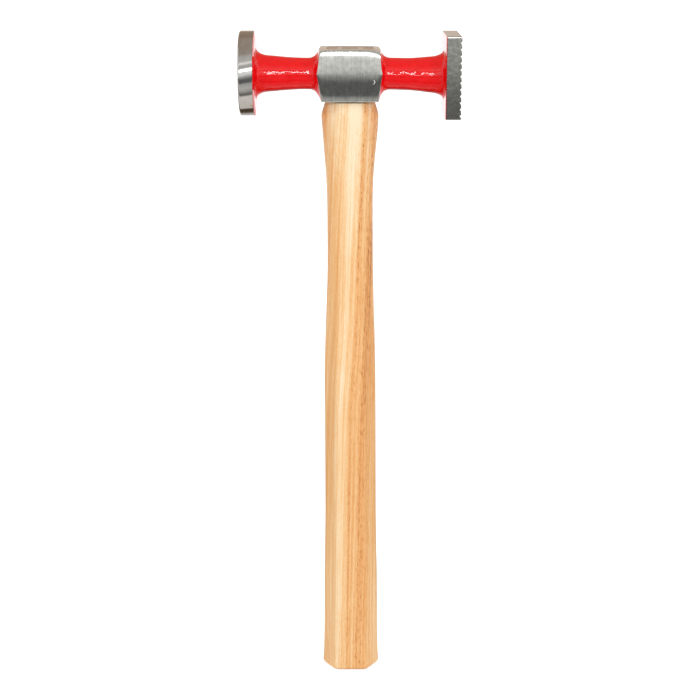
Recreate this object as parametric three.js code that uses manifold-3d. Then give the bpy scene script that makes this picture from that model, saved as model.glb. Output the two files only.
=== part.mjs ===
// Auto body shrinking hammer: a forged steel head with a round face and a serrated square face,
// hung on a hickory handle and held by a wooden wedge and two steel wedges in the eye.
// Millimetres. +Z runs up the handle to the head, the round face looks along -X and the serrated
// face along +X. The origin is the middle of the flat butt end of the handle.

import * as THREE from 'three';
import { mergeVertices } from 'three/addons/utils/BufferGeometryUtils.js';
import Module from 'manifold-3d';

// Fits between the separate pieces
const fitGap = 0.3;
const cutOverrun = 2;

// Where the head sits: its axis above the butt end, and its two faces left and right of the handle
const headAxisHeight = 304;
const roundFaceReach = 52;
const squareFaceReach = 51.4;

// Round face
const roundFaceDiameter = 39.7;
const roundFaceThickness = 7;
const roundFaceEdgeRadius = 1.7;
const roundFaceBackEdge = 0.4;

// Square face and the teeth milled into it
const squareFaceSide = 38.1;
const squareFaceThickness = 6.8;
const squareFaceEdge = 0.35;
const squareFaceCorner = 1;
const toothPitch = 3.03;
const toothGrooveWidth = 1.5;
const toothGrooveDepth = 0.95;

// Necks: the waist diameter by the eye boss and how far it runs straight, the root diameter by the
// face, and the fillets at both ends
const leftNeck = { waist: 15.1, waistLength: 3.5, root: 17.9, bossFillet: 6, faceFillet: 5.2 };
const rightNeck = { waist: 15.3, waistLength: 3.5, root: 17.7, bossFillet: 5, faceFillet: 5.2 };

// Eye boss: ground flat above and below, crowned in front and behind, forged cheeks at the necks
const bossHeight = 23.6;
const bossDepth = 29.6;
const bossFlatDepth = 26.8;
const bossEdgeRadius = 1.2;
const leftCheekReach = 14.9;
const rightCheekReach = 14.5;
const cheekLean = 1.1;
const bossForgingDiameter = 36.6;

// Eye through the boss, wider at the top so that the wedged tenon can't pull out
const eyeLength = 20.4;
const eyeWidth = 14.6;
const eyeFlare = 1.3;
const eyeCornerShare = 0.42;

// Handle widths (along the head) and depths (front to back), at the heights given after them
const buttWidth = 28.9;
const buttDepth = 23.2;
const buttChamfer = 2.1;
const buttFlareHeight = 9;
const heelWidth = 27.9;
const heelDepth = 22.6;
const palmHeight = 62;
const palmWidth = 26.9;
const palmDepth = 21.9;
const gripTopHeight = 156;
const gripTopWidth = 25.7;
const gripTopDepth = 20.6;
const waistDrop = 65;
const waistLength = 14;
const waistWidth = 22.4;
const waistDepth = 18;
const shoulderDrop = 23;
const shoulderWidth = 26.8;
const shoulderDepth = 21.6;
const seatWidth = 23.5;
const seatDepth = 19.4;

// Octagon of the grip: how far each slanted facet runs along the width and along the depth
const facetAlongWidth = 6.3;
const facetAlongDepth = 7.9;

// Wooden wedge along the eye, and the steel wedges driven across it
const kerfDepth = 18.5;
const woodWedgeTop = 3.2;
const woodWedgeTip = 1;
const steelWedgeTop = 2.4;
const steelWedgeTip = 0.6;
const steelWedgeWidth = 10.6;
const steelWedgeHeight = 13;
const steelWedgeSpacing = 9.6;

// Fineness of the round shapes
const turnSegments = 48;
const arcSegments = 4;
const handleSides = 24;
const ringsPerStation = 5;
const facetSharpness = 18;

// Heights and lengths that follow from the sizes above
const bossTop = headAxisHeight + bossHeight / 2;
const bossBottom = headAxisHeight - bossHeight / 2;
const seatHeight = bossBottom - fitGap;

const wasm = await Module();
wasm.setup();

// A closed geometry as a solid that can be joined and cut
function solidOf(geometry) {
  const bare = geometry.clone();
  bare.deleteAttribute('normal');
  bare.deleteAttribute('uv');
  const merged = mergeVertices(bare);
  const mesh = new wasm.Mesh({
    numProp: 3,
    vertProperties: Float32Array.from(merged.attributes.position.array),
    triVerts: Uint32Array.from(merged.index.array),
  });
  return new wasm.Manifold(mesh);
}

// A finished solid as a named mesh with its own material
function pieceOf(name, solid, color, roughness, metalness) {
  const { vertProperties, triVerts } = solid.getMesh();
  const geometry = new THREE.BufferGeometry();
  geometry.setAttribute('position', new THREE.BufferAttribute(Float32Array.from(vertProperties), 3));
  geometry.setIndex(new THREE.BufferAttribute(Uint32Array.from(triVerts), 1));
  geometry.computeVertexNormals();
  const piece = new THREE.Mesh(geometry, new THREE.MeshStandardMaterial({ color, roughness, metalness }));
  piece.name = name;
  return piece;
}

function boxSolid(width, depth, height, x, y, z) {
  return solidOf(new THREE.BoxGeometry(width, depth, height).translate(x, y, z));
}

// Points of radius and reach on an arc about a centre, from one angle to another
function arcPoints(centreRadius, centreReach, radius, fromAngle, toAngle) {
  const arc = new THREE.Path();
  arc.absarc(centreRadius, centreReach, radius, fromAngle, toAngle, toAngle < fromAngle);
  return arc.getPoints(arcSegments);
}

// A neck as points of radius and reach: the fillet at the back of its face, the long flare down to
// the waist, the fillet at the eye boss and the forged cheek above it
function neckOutline(neck, faceBackReach, cheekReach) {
  const rootRadius = neck.root / 2;
  const waistRadius = neck.waist / 2;
  const flareStart = cheekReach + neck.bossFillet;
  const root = new THREE.Vector2(rootRadius, faceBackReach - neck.faceFillet);
  const flare = new THREE.QuadraticBezierCurve(
    root,
    new THREE.Vector2(waistRadius, flareStart + 2 * neck.waistLength),
    new THREE.Vector2(waistRadius, flareStart + neck.waistLength),
  );
  return [
    ...arcPoints(rootRadius + neck.faceFillet, root.y, neck.faceFillet, Math.PI / 2, Math.PI),
    ...flare.getPoints(arcSegments).slice(1),
    ...arcPoints(waistRadius + neck.bossFillet, flareStart, neck.bossFillet, Math.PI, Math.PI * 1.5),
    new THREE.Vector2(bossForgingDiameter / 2, cheekReach - cheekLean),
  ];
}

// The head turned about its axis: the round face, the two necks and the blank of the eye boss,
// with a stub at the right that runs into the square face
function turnedSolid() {
  const faceRadius = roundFaceDiameter / 2;
  const faceBack = roundFaceReach - roundFaceThickness;
  const edgeReach = roundFaceReach - roundFaceEdgeRadius;
  const plateBack = squareFaceReach - squareFaceThickness;
  const plateMiddle = squareFaceReach - squareFaceThickness / 2;
  const roundSide = [
    new THREE.Vector2(0, roundFaceReach),
    ...arcPoints(faceRadius - roundFaceEdgeRadius, edgeReach, roundFaceEdgeRadius, Math.PI / 2, 0),
    new THREE.Vector2(faceRadius, faceBack + roundFaceBackEdge),
    new THREE.Vector2(faceRadius - roundFaceBackEdge, faceBack),
    ...neckOutline(leftNeck, faceBack, leftCheekReach),
  ];
  const squareSide = [
    new THREE.Vector2(0, plateMiddle),
    new THREE.Vector2(rightNeck.root / 2 + rightNeck.faceFillet, plateMiddle),
    ...neckOutline(rightNeck, plateBack, rightCheekReach),
  ];
  const outline = [...roundSide.map((point) => new THREE.Vector2(point.x, -point.y)), ...squareSide.reverse()];
  return solidOf(new THREE.LatheGeometry(outline, turnSegments).rotateZ(-Math.PI / 2));
}

// The eye outline is an oval with full corners, grown or shrunk by an offset
function eyeOutline(offset) {
  const halfLength = eyeLength / 2 + offset;
  const halfWidth = eyeWidth / 2 + offset;
  const straight = halfLength * eyeCornerShare;
  const outline = new THREE.Shape();
  outline.moveTo(straight, -halfWidth);
  outline.bezierCurveTo(halfLength, -halfWidth, halfLength, -halfWidth, halfLength, 0);
  outline.bezierCurveTo(halfLength, halfWidth, halfLength, halfWidth, straight, halfWidth);
  outline.lineTo(-straight, halfWidth);
  outline.bezierCurveTo(-halfLength, halfWidth, -halfLength, halfWidth, -halfLength, 0);
  outline.bezierCurveTo(-halfLength, -halfWidth, -halfLength, -halfWidth, -straight, -halfWidth);
  return outline;
}

// The flared space of the eye between two heights, grown or shrunk by an offset
function eyeSolid(offset, fromHeight, toHeight) {
  const geometry = new THREE.ExtrudeGeometry(eyeOutline(offset), {
    depth: toHeight - fromHeight, steps: 1, bevelEnabled: false, curveSegments: arcSegments,
  });
  geometry.translate(0, 0, fromHeight);
  const position = geometry.attributes.position;
  for (let i = 0; i < position.count; i += 1) {
    const rise = (position.getZ(i) - bossBottom) / bossHeight;
    position.setX(i, position.getX(i) * (1 + (eyeFlare * rise) / eyeLength));
    position.setY(i, position.getY(i) * (1 + (eyeFlare * rise) / eyeWidth));
  }
  return solidOf(geometry);
}

// The ground outline of the eye boss seen along the head: flat above and below, crowned both sides
function bossOutline() {
  const halfHeight = bossHeight / 2;
  const halfFlat = bossFlatDepth / 2;
  const crown = bossDepth - halfFlat;
  const outline = new THREE.Shape();
  outline.moveTo(-halfFlat + bossEdgeRadius, -halfHeight);
  outline.lineTo(halfFlat - bossEdgeRadius, -halfHeight);
  outline.quadraticCurveTo(halfFlat, -halfHeight, halfFlat, -halfHeight + bossEdgeRadius);
  outline.quadraticCurveTo(crown, 0, halfFlat, halfHeight - bossEdgeRadius);
  outline.quadraticCurveTo(halfFlat, halfHeight, halfFlat - bossEdgeRadius, halfHeight);
  outline.lineTo(-halfFlat + bossEdgeRadius, halfHeight);
  outline.quadraticCurveTo(-halfFlat, halfHeight, -halfFlat, halfHeight - bossEdgeRadius);
  outline.quadraticCurveTo(-crown, 0, -halfFlat, -halfHeight + bossEdgeRadius);
  outline.quadraticCurveTo(-halfFlat, -halfHeight, -halfFlat + bossEdgeRadius, -halfHeight);
  return outline;
}

// An outline drawn across the head (front to back, up) and run along the head axis
function runAlongHead(outline, length, bevel) {
  const geometry = new THREE.ExtrudeGeometry(outline, {
    depth: length - 2 * bevel,
    steps: 1,
    curveSegments: arcSegments,
    bevelEnabled: bevel > 0,
    bevelThickness: bevel,
    bevelSize: bevel,
    bevelOffset: -bevel,
    bevelSegments: 1,
  });
  geometry.translate(0, 0, bevel - length / 2);
  geometry.rotateX(Math.PI / 2);
  geometry.rotateZ(Math.PI / 2);
  return geometry;
}

// Square face plate with broken edges, then the crossing V grooves that leave its teeth
function serratedPlate() {
  const halfSide = squareFaceSide / 2;
  const inset = halfSide - squareFaceCorner;
  const outline = new THREE.Shape();
  outline.moveTo(-inset, -halfSide);
  outline.lineTo(inset, -halfSide);
  outline.lineTo(halfSide, -inset);
  outline.lineTo(halfSide, inset);
  outline.lineTo(inset, halfSide);
  outline.lineTo(-inset, halfSide);
  outline.lineTo(-halfSide, inset);
  outline.lineTo(-halfSide, -inset);
  const geometry = runAlongHead(outline, squareFaceThickness, squareFaceEdge);
  geometry.translate(squareFaceReach - squareFaceThickness / 2, 0, 0);
  let plate = solidOf(geometry);

  const grooveOutline = new THREE.Shape();
  grooveOutline.moveTo(0, 0);
  grooveOutline.lineTo(toothGrooveWidth, 2 * toothGrooveDepth);
  grooveOutline.lineTo(-toothGrooveWidth, 2 * toothGrooveDepth);
  const grooveLength = squareFaceSide + 2 * cutOverrun;
  const groove = new THREE.ExtrudeGeometry(grooveOutline, { depth: grooveLength, steps: 1, bevelEnabled: false });
  groove.translate(0, 0, -grooveLength / 2);
  groove.rotateZ(-Math.PI / 2);
  groove.translate(squareFaceReach - toothGrooveDepth, 0, 0);
  const grooveCount = Math.floor(squareFaceSide / toothPitch);
  for (let i = 0; i < grooveCount; i += 1) {
    const offset = (i - (grooveCount - 1) / 2) * toothPitch;
    const upright = groove.clone().translate(0, offset, 0);
    const level = groove.clone().rotateX(Math.PI / 2).translate(0, 0, offset);
    plate = plate.subtract(solidOf(upright)).subtract(solidOf(level));
  }
  return plate;
}

// The whole head: the turned body with its boss ground to shape, the toothed plate, and the eye
function headSolid() {
  const bossReach = Math.max(leftCheekReach + leftNeck.bossFillet, rightCheekReach + rightNeck.bossFillet);
  const sideLength = roundFaceReach + squareFaceReach;
  const sideSize = roundFaceDiameter + 2 * cutOverrun;
  const sideShift = sideLength / 2 + bossReach;
  const ground = solidOf(runAlongHead(bossOutline(), 2 * (bossReach + cutOverrun), 0))
    .add(boxSolid(sideLength, sideSize, sideSize, -sideShift, 0, 0))
    .add(boxSolid(sideLength, sideSize, sideSize, sideShift, 0, 0));
  return turnedSolid()
    .intersect(ground)
    .add(serratedPlate())
    .translate(0, 0, headAxisHeight)
    .subtract(eyeSolid(0, bossBottom - cutOverrun, bossTop + cutOverrun));
}

// Radius of a handle section at an angle: a soft-edged octagon at the grip, an oval at the waist
function sectionRadius(angle, halfWidth, halfDepth, facetShare) {
  const across = Math.abs(Math.cos(angle));
  const deep = Math.abs(Math.sin(angle));
  const oval = 1 / Math.hypot(across / halfWidth, deep / halfDepth);
  const slantX = facetAlongDepth;
  const slantY = facetAlongWidth;
  const slantReach = slantX * halfWidth + slantY * (halfDepth - facetAlongDepth);
  const sides = [across / halfWidth, deep / halfDepth, (slantX * across + slantY * deep) / slantReach];
  const sharpSum = sides.reduce((sum, side) => sum + side ** facetSharpness, 0);
  const octagon = sharpSum ** (-1 / facetSharpness);
  return oval + (octagon - oval) * facetShare;
}

// The shaped handle below the head: rings of width, depth and height from the butt to the seat
function gripSolid() {
  const waistTop = headAxisHeight - waistDrop + waistLength / 2;
  const waistBottom = waistTop - waistLength;
  const shoulderHeight = headAxisHeight - shoulderDrop;
  const stations = [
    [buttWidth, buttDepth, buttChamfer],
    [heelWidth, heelDepth, buttFlareHeight],
    [palmWidth, palmDepth, palmHeight],
    [gripTopWidth, gripTopDepth, gripTopHeight],
    [waistWidth, waistDepth, waistBottom],
    [waistWidth, waistDepth, waistTop],
    [shoulderWidth, shoulderDepth, shoulderHeight],
    [seatWidth, seatDepth, seatHeight],
  ];
  const curve = new THREE.CatmullRomCurve3(
    stations.map(([width, depth, height]) => new THREE.Vector3(width, depth, height)),
  );
  const rings = [
    new THREE.Vector3(buttWidth - 2 * buttChamfer, buttDepth - 2 * buttChamfer, 0),
    ...curve.getPoints((stations.length - 1) * ringsPerStation),
  ];
  const circle = new THREE.Shape();
  circle.absarc(0, 0, 1, 0, Math.PI * 2);
  const geometry = new THREE.ExtrudeGeometry(circle, {
    depth: rings.length - 1, steps: rings.length - 1, bevelEnabled: false, curveSegments: handleSides,
  });
  const position = geometry.attributes.position;
  for (let i = 0; i < position.count; i += 1) {
    const ring = rings[Math.round(position.getZ(i))];
    const angle = Math.atan2(position.getY(i), position.getX(i));
    const facets = 1 - THREE.MathUtils.smoothstep(ring.z, gripTopHeight, waistBottom)
      + THREE.MathUtils.smoothstep(ring.z, waistTop, shoulderHeight);
    const radius = sectionRadius(angle, ring.x / 2, ring.y / 2, facets);
    position.setXYZ(i, radius * Math.cos(angle), radius * Math.sin(angle), ring.z);
  }
  return solidOf(geometry);
}

// A wedge pointing down from the boss top, thin along Y and run along X, grown by a gap all round
function wedgeSolid(topThickness, tipThickness, width, height, gap, overrun) {
  const halfTop = topThickness / 2 + gap;
  const halfTip = tipThickness / 2 + gap;
  const outline = new THREE.Shape();
  outline.moveTo(-halfTip, -height - gap);
  outline.lineTo(halfTip, -height - gap);
  outline.lineTo(halfTop, 0);
  outline.lineTo(halfTop, overrun);
  outline.lineTo(-halfTop, overrun);
  outline.lineTo(-halfTop, 0);
  const geometry = runAlongHead(outline, width + 2 * gap, 0);
  geometry.translate(0, 0, bossTop);
  return solidOf(geometry);
}

function woodWedgeSolid(gap, overrun) {
  const length = eyeLength + 2 * eyeFlare;
  return wedgeSolid(woodWedgeTop, woodWedgeTip, length, kerfDepth - fitGap, gap, overrun);
}

function steelWedgeSolid(side, gap, overrun) {
  return wedgeSolid(steelWedgeTop, steelWedgeTip, steelWedgeWidth, steelWedgeHeight, gap, overrun)
    .rotate([0, 0, 90])
    .translate((side * steelWedgeSpacing) / 2, 0, 0);
}

const tenon = eyeSolid(-fitGap, seatHeight - fitGap, bossTop);
const wedgeSides = { left: -1, right: 1 };
const wedgeSlots = Object.values(wedgeSides)
  .map((side) => steelWedgeSolid(side, fitGap, cutOverrun))
  .reduce((slots, slot) => slots.add(slot));

const handle = gripSolid().add(tenon).subtract(woodWedgeSolid(fitGap, cutOverrun)).subtract(wedgeSlots);
const woodWedge = woodWedgeSolid(0, 0).intersect(tenon).subtract(wedgeSlots);

const hammer = new THREE.Group();
hammer.name = 'auto_body_hammer';
hammer.add(pieceOf('hammer_head', headSolid(), 0xc41f1f, 0.35, 0.4));
hammer.add(pieceOf('handle', handle, 0xe0b482, 0.5, 0));
hammer.add(pieceOf('wood_wedge', woodWedge, 0xc79b66, 0.6, 0));
for (const [name, side] of Object.entries(wedgeSides)) {
  hammer.add(pieceOf(`steel_wedge_${name}`, steelWedgeSolid(side, 0, 0), 0x8f9296, 0.4, 1));
}

export default hammer;
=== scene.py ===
"""Auto body shrinking hammer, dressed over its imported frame.

A steel head, forged in one piece with a round face, a toothed square face, two enamelled necks and
an eye boss, hung on a hickory handle and held by a wooden wedge with two steel wedges across it.
Metres throughout. The handle stands on the floor at the origin, the round face looks along -X and
the camera looks along +Y.
"""

import math

import bmesh
import bpy
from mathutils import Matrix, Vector, noise


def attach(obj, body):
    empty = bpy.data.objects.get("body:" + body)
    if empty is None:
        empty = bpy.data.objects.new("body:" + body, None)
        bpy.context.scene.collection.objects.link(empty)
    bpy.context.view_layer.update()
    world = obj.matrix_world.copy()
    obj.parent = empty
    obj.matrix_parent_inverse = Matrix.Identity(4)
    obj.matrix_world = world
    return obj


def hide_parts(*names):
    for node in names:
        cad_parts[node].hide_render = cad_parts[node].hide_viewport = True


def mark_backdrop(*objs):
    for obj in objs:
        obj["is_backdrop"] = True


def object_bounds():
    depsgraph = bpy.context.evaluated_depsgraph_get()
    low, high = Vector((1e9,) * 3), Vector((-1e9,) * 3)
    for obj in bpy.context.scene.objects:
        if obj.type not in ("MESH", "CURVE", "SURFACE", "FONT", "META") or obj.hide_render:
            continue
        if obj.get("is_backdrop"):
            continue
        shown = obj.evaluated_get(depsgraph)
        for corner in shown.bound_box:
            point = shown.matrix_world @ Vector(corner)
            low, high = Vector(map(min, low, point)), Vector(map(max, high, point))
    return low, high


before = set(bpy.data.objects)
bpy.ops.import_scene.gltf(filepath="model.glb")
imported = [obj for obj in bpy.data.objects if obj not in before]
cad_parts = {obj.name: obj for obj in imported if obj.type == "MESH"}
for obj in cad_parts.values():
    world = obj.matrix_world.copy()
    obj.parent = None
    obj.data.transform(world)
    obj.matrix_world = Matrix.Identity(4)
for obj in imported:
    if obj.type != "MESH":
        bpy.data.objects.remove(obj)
cad_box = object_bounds()


# Round face
#
# The left end of the head's forging, turned on its rim and face and left as bare, polished steel.
# The face is a shade crowned and its front edge is rounded, so that a blow leaves no mark.

mm = 0.001
head_axis_height = 304 * mm
round_face_reach = 52 * mm
round_face_radius = 19.85 * mm
round_face_back = 44.8 * mm
round_face_edge = 1.0 * mm
round_face_crown = 0.15 * mm
round_face_middle = 48 * mm
rim_length = 5.2 * mm
round_face_sides = 144
enamel_thickness = 0.12 * mm
back_edge = 0.4 * mm


def placed(name, data):
    """A new object in the scene that holds a mesh, a lamp or a camera."""
    made = bpy.data.objects.new(name, data)
    bpy.context.scene.collection.objects.link(made)
    return made


def closed_piece(name, points, faces):
    """A closed piece with its faces turned outwards, smooth but for its real edges."""
    mesh = bpy.data.meshes.new(name)
    mesh.from_pydata(points, [], faces)
    shell = bmesh.new()
    shell.from_mesh(mesh)
    bmesh.ops.recalc_face_normals(shell, faces=shell.faces)
    shell.to_mesh(mesh)
    shell.free()
    piece = placed(name, mesh)
    smooth_to_its_edges(piece)
    return piece


def smooth_to_its_edges(piece, edge_angle=32):
    piece.data.shade_smooth()
    piece.data.set_sharp_from_angle(angle=math.radians(edge_angle))


def band(near, far):
    """Faces between two closed loops of points."""
    around = len(near)
    following = [(i, (i + 1) % around) for i in range(around)]
    return [(near[i], near[j], far[j], far[i]) for i, j in following]


def fan(loop, middle):
    """Faces that close a loop onto its middle point."""
    return [(middle, point, loop[i - 1]) for i, point in enumerate(loop)]


def skinned_piece(name, rings, start, end):
    """A piece skinned over rings of points, each end closed onto its own middle point."""
    around = len(rings[0])
    points = [start, end] + [point for ring in rings for point in ring]
    loops = [range(2 + i * around, 2 + (i + 1) * around) for i in range(len(rings))]
    faces = fan(loops[0], 0) + fan(loops[-1][::-1], 1)
    for near, far in zip(loops, loops[1:]):
        faces += band(near, far)
    return closed_piece(name, points, faces)


def between(start, stop, steps):
    """Evenly spaced values from a start to a stop, with both of them."""
    return [start + (stop - start) * i / steps for i in range(steps + 1)]


def arc(centre_reach, centre_radius, radius, from_angle, to_angle, steps):
    """Points of reach and radius on an arc; 0 degrees points away from the axis, 90 along it."""
    points = []
    for angle in between(math.radians(from_angle), math.radians(to_angle), steps):
        points.append((centre_reach + radius * math.sin(angle), centre_radius + radius * math.cos(angle)))
    return points


def round_face_profile():
    """Reach and radius from near the middle of the face, over the rim, to the back under the enamel."""
    edge_radius = round_face_radius - round_face_edge
    edge_reach = round_face_reach - round_face_crown - round_face_edge
    profile = []
    for share in between(0, 1, 9)[1:-1]:
        profile.append((round_face_reach - round_face_crown * share**2, edge_radius * share))
    profile += arc(edge_reach, edge_radius, round_face_edge, 90, 0, 10)
    profile += [(edge_reach - share * rim_length, round_face_radius) for share in (0.25, 0.5, 0.75)]
    profile += arc(round_face_back + back_edge, round_face_radius - back_edge, back_edge, 0, -70, 5)
    profile.append((round_face_back + enamel_thickness, round_face_radius - 1.2 * mm))
    return profile


class Value:
    """What a step of a finish or a build gives, to reckon on with or to feed to another step."""

    def __init__(self, socket):
        self.socket, self.tree = socket, socket.id_data

    def calc(self, operation, second=0.0):
        """One sum with this value in first place."""
        return step(self.tree, "ShaderNodeMath", {0: self, 1: second}, operation=operation)

    def __add__(self, other):
        return self.calc("ADD", other)

    def __mul__(self, other):
        return self.calc("MULTIPLY", other)

    def __truediv__(self, other):
        return self.calc("DIVIDE", other)

    def __sub__(self, other):
        return self.calc("SUBTRACT", other)

    def __rsub__(self, other):
        return step(self.tree, "ShaderNodeMath", {0: other, 1: self}, operation="SUBTRACT")

    def __abs__(self):
        return self.calc("ABSOLUTE")

    def __round__(self):
        return self.calc("ROUND")

    def __floor__(self):
        return self.calc("FLOOR")


def feed(made, feeds):
    """Sets the inputs of a step: a feed is a plain value, or what another step gives."""
    for socket, value in dict(feeds).items():
        if isinstance(value, Value):
            made.id_data.links.new(value.socket, made.inputs[socket])
        else:
            made.inputs[socket].default_value = value


def step(tree, kind, feeds=(), gives=0, **settings):
    """One step of a finish or a build, and what it gives."""
    made = tree.nodes.new(kind)
    for setting, value in settings.items():
        setattr(made, setting, value)
    feed(made, feeds)
    return Value(made.outputs[gives])


def fed_to(shader, socket):
    """What a shader is fed so far."""
    return Value(shader.inputs[socket].links[0].from_socket)


def parts_of(place):
    made = place.tree.nodes.new("ShaderNodeSeparateXYZ")
    feed(made, {0: place})
    return [Value(socket) for socket in made.outputs]


def joined(*parts):
    """A place from its three parts, one of which at least comes from a step."""
    tree = next(part.tree for part in parts if isinstance(part, Value))
    return step(tree, "ShaderNodeCombineXYZ", enumerate(parts))


def on_piece(tree):
    """The place of a point on its piece."""
    return step(tree, "ShaderNodeTexCoord", gives="Object")


def facing_up(tree):
    """How far the surface looks up: 1 on a top, 0 on a side, -1 underneath."""
    return parts_of(step(tree, "ShaderNodeNewGeometry", gives="Normal"))[2]


def grit(place, scale, detail=2.0, roughness=0.5):
    """Cloudy pattern with a value from 0 to 1; the scale is in spots per metre."""
    feeds = {"Vector": place, "Scale": scale, "Detail": detail, "Roughness": roughness}
    return step(place.tree, "ShaderNodeTexNoise", feeds)


def spread(value, low, high, to_low=0.0, to_high=1.0):
    """A value moved from one range to another, and held at its ends."""
    feeds = {0: value, 1: low, 2: high, 3: to_low, 4: to_high}
    return step(value.tree, "ShaderNodeMapRange", feeds)


def tint(share, first, second):
    feeds = {0: share, 6: first, 7: second}
    return step(share.tree, "ShaderNodeMix", feeds, 2, data_type="RGBA")


def stretched(place, x, y, z):
    return step(place.tree, "ShaderNodeMapping", {"Vector": place, "Scale": (x, y, z)})


def relief(height, depth, **under):
    """Fine relief of a depth in metres, over the relief under it if there is any."""
    feeds = {"Height": height, "Distance": depth, "Strength": 1.0, **under}
    return step(height.tree, "ShaderNodeBump", feeds)


def opened(finish):
    """The steps of a finish and the shader that they feed."""
    return finish.node_tree, finish.node_tree.nodes["Principled BSDF"]


def new_finish(name):
    finish = bpy.data.materials.new(name)
    finish.use_nodes = True
    return finish, *opened(finish)


def turned_lay(place, stretch):
    """The lay of turned steel: fine lines round the head's axis, on a rim and on a face alike."""
    along, across, height = parts_of(place)
    up = height - head_axis_height
    spoke = joined(0.0, across, up)
    radius = step(place.tree, "ShaderNodeVectorMath", {0: spoke}, "Value", operation="LENGTH")
    return joined(along, radius + across * stretch, up * stretch)


def bare_steel(
    name, lay, dark, light, polish, line_depth, waves_per_metre, wave_depth, spread_across=0.0, twist=0.0
):
    """Bare steel: grit lines along its lay, cloudy tone, uneven polish and a faint waviness."""
    steel, tree, shader = new_finish(name)
    place = on_piece(tree)
    lines = lay(place, 0.018)
    coarse = grit(lines, 1500, 3.0, 0.6)
    fine = grit(lines, 5200, 2.0, 0.6)
    clouds = grit(place, 420, 4.0, 0.6)
    waves = grit(lay(place, 0.15), waves_per_metre, 2.0)
    if twist:
        along, _, height = parts_of(place)
        warp = (along + round_face_middle) * (height - head_axis_height)
        waves += warp * (twist / wave_depth)
    tone = fine * 0.45 + clouds * 0.55
    scratches = coarse * 0.6 + fine * 0.4
    feed(shader, {
        "Base Color": tint(spread(tone, 0.35, 0.65), dark, light),
        "Roughness": spread(clouds, 0.3, 0.7, polish * 0.85, polish * 1.2),
        "Normal": relief(scratches, line_depth, Normal=relief(waves, wave_depth)),
        "Metallic": 1.0,
    })
    if spread_across:
        along_head = step(tree, "ShaderNodeCombineXYZ", {0: 1.0})
        feed(shader, {"Anisotropic": spread_across, "Tangent": along_head})
    return steel


def turned_ring(side, reach, radius, angles):
    """A ring of points about the head's axis; side is -1 for the left half and 1 for the right."""
    ring = []
    for angle in angles:
        across, up = radius * math.cos(angle), radius * math.sin(angle)
        ring.append((side * reach, across, head_axis_height + up))
    return ring


rim_angles = [2 * math.pi * i / round_face_sides for i in range(round_face_sides)]
round_face = skinned_piece(
    "round_face",
    [turned_ring(-1, reach, radius, rim_angles) for reach, radius in round_face_profile()],
    (-round_face_reach, 0, head_axis_height),
    (-(round_face_back + enamel_thickness), 0, head_axis_height),
)
turned_steel = bare_steel(
    "turned_steel", turned_lay, (0.50, 0.49, 0.47, 1), (0.60, 0.59, 0.57, 1),
    polish=0.065, line_depth=0.0015 * mm, waves_per_metre=260, wave_depth=0.12 * mm, twist=9.0,
)
round_face.data.materials.append(turned_steel)
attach(round_face, "root")
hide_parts("hammer_head")


# Eye boss
#
# The middle of the forging, where the handle goes through. The dies left a shallow ridge at mid
# height, front and back; a belt has ground it bare all round, and the eye is drifted through it.

boss_rise = 11.8 * mm
boss_fall = 12.0 * mm
boss_top = head_axis_height + boss_rise
boss_bottom = head_axis_height - boss_fall
boss_crest = 14.4 * mm
boss_edge = 0.14 * mm
boss_chamfer = 0.62 * mm
boss_slope = math.tan(math.radians(4.3))
ridge_height = -0.6 * mm
ridge_softness = 3.3 * mm
boss_end_drop = 0.5 * mm
boss_end_taper = 0.012
end_edge = 0.25 * mm

# Where the front starts to roll away above and below the middle, and how strongly
upper_roll, lower_roll = (7.9 * mm, 20), (7.5 * mm, 11)

# The eye, and the plugs that close the boss at both ends inside the necks
eye_half_length = 10.2 * mm
eye_half_width = 7.3 * mm
eye_flare = 1.3 * mm
eye_straight_share = 0.42
eye_chamfer = 0.35 * mm
boss_plug = 12.9 * mm
boss_plug_share = 0.93
forging_radius = 18.3

# The cheeks and what the necks take from them, in millimetres. A cheek leans back towards its rim,
# bulges along the ridge of the dies, and slants back above it and below it.
cheek_lean, cheek_bulge, bulge_height, bulge_spread = 0.3, 0.75, 0.8, 3.2
bulge_start, bulge_full = 9, 14
left_neck = {"side": -1, "cheek": 14.9, "waist": 14.8, "boss_fillet": 4.6, "slant": (0.5, 1.3)}
right_neck = {"side": 1, "cheek": 14.5, "waist": 15.0, "boss_fillet": 4.2, "slant": (0.3, 0.9)}


def share_between(value, start, stop):
    """0 up to the start, 1 from the stop on, and in proportion between them."""
    return min(1.0, max(0.0, (value - start) / (stop - start)))


def boss_front_depth(height):
    """How far the boss stands out from the head's axis, at a height over that axis."""
    up = abs(height - ridge_height)
    drop = boss_slope * (math.hypot(up, ridge_softness) - ridge_softness)
    start, strength = upper_roll if height > 0 else lower_roll
    drop += strength * max(0.0, abs(height) - start) ** 2
    return boss_crest - drop


def boss_top_edge():
    """The softly rounded long edge on top, from the flat to the sloping front."""
    start_height = boss_rise - boss_edge * 0.8
    nudge = 0.01 * mm
    slope = (boss_front_depth(start_height) - boss_front_depth(start_height + nudge)) / nudge
    lean = math.degrees(math.atan(slope))
    centre_depth = boss_front_depth(start_height) - boss_edge * math.cos(math.radians(lean))
    points = arc(boss_rise - boss_edge, centre_depth, boss_edge, 90, lean, 6)
    return [(depth, height) for height, depth in points]


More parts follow.
